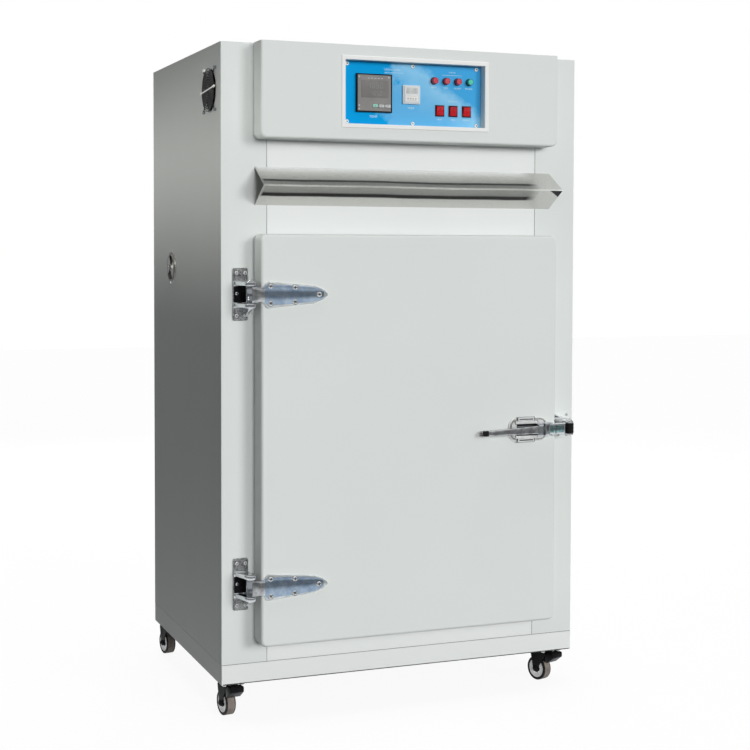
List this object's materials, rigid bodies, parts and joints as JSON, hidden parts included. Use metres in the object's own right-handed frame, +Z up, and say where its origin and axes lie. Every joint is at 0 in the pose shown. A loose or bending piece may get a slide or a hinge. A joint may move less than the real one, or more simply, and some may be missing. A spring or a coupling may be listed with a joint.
{
  "type": "drying oven",
  "caption": "Free-standing hot-air drying oven on casters: insulated cabinet, strap-hinged door with a pull latch, V steam guard and a recessed control panel.",
  "frame": {"origin": "on the floor, under the middle of the whole oven's box", "axes": "+Z up, +X to the right of someone facing the door, +Y towards the back"},
  "size_m": [0.9983, 0.837, 1.695],
  "materials": {
    "white_paint": "satin powder coat",
    "stainless": "brushed stainless sheet",
    "zinc_chrome": "bright plated",
    "mineral_wool": "loose fibre",
    "seal_rubber": "silicone seal",
    "heater_alloy": "heat-darkened tube",
    "motor_paint": "gloss enamel",
    "galvanised": "galvanised sheet",
    "gear_plastic": "moulded",
    "black_plastic": "satin black",
    "blue_panel": "printed film, gloss",
    "light_key": "moulded",
    "red_lens": "translucent red",
    "green_lens": "translucent green",
    "caster_tyre": "dark tread with a grey hub"
  },
  "bodies": {
    "cabinet": {"air_ducts": "stainless", "back_panel": "white_paint", "blower_motor": "motor_paint", "cabinet_screws": "zinc_chrome", "caster_plates": "black_plastic", "chamber_liner": "stainless", "control_gear": "gear_plastic", "control_housing": "white_paint", "control_panel": "blue_panel", "front_panel": "white_paint", "front_stiles": "white_paint", "heater_tubes": "heater_alloy", "hinge_bases": "zinc_chrome", "insulation": "mineral_wool", "latch_keeper": "zinc_chrome", "motor_deck": "galvanised", "pilot_lamp_green": "green_lens", "pilot_lamps_red": "red_lens", "plinth": "white_paint", "power_gland": "black_plastic", "rocker_frames": "black_plastic", "shelf_runners": "stainless", "side_fan_frame": "black_plastic", "side_panel_left": "white_paint", "side_panel_right": "white_paint", "steam_guard": "stainless", "temperature_controller": "black_plastic", "timer": "light_key", "top_panel": "white_paint", "vent_collar": "zinc_chrome", "wire_shelves": "stainless"},
    "door": {"door_skin": "white_paint", "door_core": "mineral_wool", "door_liner": "stainless", "door_gasket": "seal_rubber", "hinge_straps": "zinc_chrome", "door_screws": "zinc_chrome", "latch_base": "zinc_chrome"},
    "latch_lever": {"latch_lever": "zinc_chrome"},
    "latch_bolt": {"latch_bolt": "zinc_chrome"},
    "keeper_roller": {"keeper_roller": "black_plastic"},
    "blower_wheel": {"blower_wheel": "galvanised"},
    "fan_impeller": {"fan_impeller": "black_plastic"},
    "vent_damper": {"vent_damper": "zinc_chrome"},
    "controller_key_1": {"controller_key_1": "light_key"},
    "rocker_1": {"rocker_1": "red_lens"},
    "controller_key_2": {"controller_key_2": "light_key"},
    "rocker_2": {"rocker_2": "red_lens"},
    "controller_key_3": {"controller_key_3": "light_key"},
    "rocker_3": {"rocker_3": "red_lens"},
    "caster_fork_front_left": {"caster_fork_front_left": "black_plastic"},
    "caster_wheel_front_left": {"caster_wheel_front_left": "caster_tyre"},
    "caster_fork_front_right": {"caster_fork_front_right": "black_plastic"},
    "caster_wheel_front_right": {"caster_wheel_front_right": "caster_tyre"},
    "caster_fork_back_left": {"caster_fork_back_left": "black_plastic"},
    "caster_wheel_back_left": {"caster_wheel_back_left": "caster_tyre"},
    "caster_fork_back_right": {"caster_fork_back_right": "black_plastic"},
    "caster_wheel_back_right": {"caster_wheel_back_right": "caster_tyre"},
    "brake_pedal_front_left": {"brake_pedal_front_left": "black_plastic"},
    "brake_pedal_front_right": {"brake_pedal_front_right": "black_plastic"}
  },
  "joints": [
    {"name": "door_swing", "type": "hinge", "parent": "cabinet", "child": "door", "pos_m": [-0.426, -0.382, 0.71], "axis": [0, 0, -1], "range_deg": [0, 120]},
    {"name": "lever_pull", "type": "hinge", "parent": "door", "child": "latch_lever", "pos_m": [0.36, -0.41, 0.7115], "axis": [0, 0, 1], "range_deg": [0, 35], "stiffness_Nm_per_rad": 0.2},
    {"name": "bolt_slide", "type": "slide", "parent": "door", "child": "latch_bolt", "axis": [-1, 0, 0], "range_m": [0, 0.012]},
    {"name": "roller_spin", "type": "hinge", "parent": "cabinet", "child": "keeper_roller", "pos_m": [0.45, -0.402, 0.7115], "axis": [0, 0, 1], "continuous": true},
    {"name": "blower_spin", "type": "hinge", "parent": "cabinet", "child": "blower_wheel", "pos_m": [0.0065, -0.046, 1.237], "axis": [0, 0, 1], "continuous": true},
    {"name": "fan_spin", "type": "hinge", "parent": "cabinet", "child": "fan_impeller", "pos_m": [-0.466, -0.229, 1.584], "axis": [1, 0, 0], "continuous": true},
    {"name": "vent_turn", "type": "hinge", "parent": "cabinet", "child": "vent_damper", "pos_m": [-0.486, 0.174, 1.133], "axis": [1, 0, 0], "range_deg": [-60, 30]},
    {"name": "rocker_tilt_1", "type": "hinge", "parent": "cabinet", "child": "rocker_1", "pos_m": [0.085, -0.367, 1.541], "axis": [-1, 0, 0], "range_deg": [0, 16]},
    {"name": "rocker_tilt_2", "type": "hinge", "parent": "cabinet", "child": "rocker_2", "pos_m": [0.1225, -0.367, 1.541], "axis": [-1, 0, 0], "range_deg": [0, 16]},
    {"name": "rocker_tilt_3", "type": "hinge", "parent": "cabinet", "child": "rocker_3", "pos_m": [0.1605, -0.367, 1.541], "axis": [-1, 0, 0], "range_deg": [0, 16]},
    {"name": "key_press_1", "type": "slide", "parent": "cabinet", "child": "controller_key_1", "axis": [0, 1, 0], "range_m": [0, 0.001], "stiffness_N_per_m": 300},
    {"name": "key_press_2", "type": "slide", "parent": "cabinet", "child": "controller_key_2", "axis": [0, 1, 0], "range_m": [0, 0.001], "stiffness_N_per_m": 300},
    {"name": "key_press_3", "type": "slide", "parent": "cabinet", "child": "controller_key_3", "axis": [0, 1, 0], "range_m": [0, 0.001], "stiffness_N_per_m": 300},
    {"name": "swivel_front_left", "type": "hinge", "parent": "cabinet", "child": "caster_fork_front_left", "pos_m": [-0.452, -0.278, 0.0855], "axis": [0, 0, 1], "continuous": true},
    {"name": "roll_front_left", "type": "hinge", "parent": "caster_fork_front_left", "child": "caster_wheel_front_left", "pos_m": [-0.45478, -0.2582, 0.0325], "axis": [-0.9903, -0.1392, 0], "continuous": true},
    {"name": "brake_front_left", "type": "hinge", "parent": "caster_fork_front_left", "child": "brake_pedal_front_left", "pos_m": [-0.4504, -0.28939, 0.0784], "axis": [0.9903, 0.1392, 0], "range_deg": [0, 10], "stiffness_Nm_per_rad": 2},
    {"name": "swivel_front_right", "type": "hinge", "parent": "cabinet", "child": "caster_fork_front_right", "pos_m": [0.446, -0.278, 0.0855], "axis": [0, 0, 1], "continuous": true},
    {"name": "roll_front_right", "type": "hinge", "parent": "caster_fork_front_right", "child": "caster_wheel_front_right", "pos_m": [0.43949, -0.25909, 0.0325], "axis": [-0.9455, -0.3256, 0], "continuous": true},
    {"name": "brake_front_right", "type": "hinge", "parent": "caster_fork_front_right", "child": "brake_pedal_front_right", "pos_m": [0.44974, -0.28887, 0.0784], "axis": [0.9455, 0.3256, 0], "range_deg": [0, 10], "stiffness_Nm_per_rad": 2},
    {"name": "swivel_back_left", "type": "hinge", "parent": "cabinet", "child": "caster_fork_back_left", "pos_m": [-0.452, 0.352, 0.0855], "axis": [0, 0, 1], "continuous": true},
    {"name": "roll_back_left", "type": "hinge", "parent": "caster_fork_back_left", "child": "caster_wheel_back_left", "pos_m": [-0.45478, 0.3718, 0.0325], "axis": [-0.9903, -0.1392, 0], "continuous": true},
    {"name": "swivel_back_right", "type": "hinge", "parent": "cabinet", "child": "caster_fork_back_right", "pos_m": [0.446, 0.352, 0.0855], "axis": [0, 0, 1], "continuous": true},
    {"name": "roll_back_right", "type": "hinge", "parent": "caster_fork_back_right", "child": "caster_wheel_back_right", "pos_m": [0.43787, 0.37027, 0.0325], "axis": [-0.9135, -0.4067, 0], "continuous": true}
  ],
  "couplings": [
    {"joint": "bolt_slide", "follows": "lever_pull", "m_per_rad": 0.019644}
  ]
}
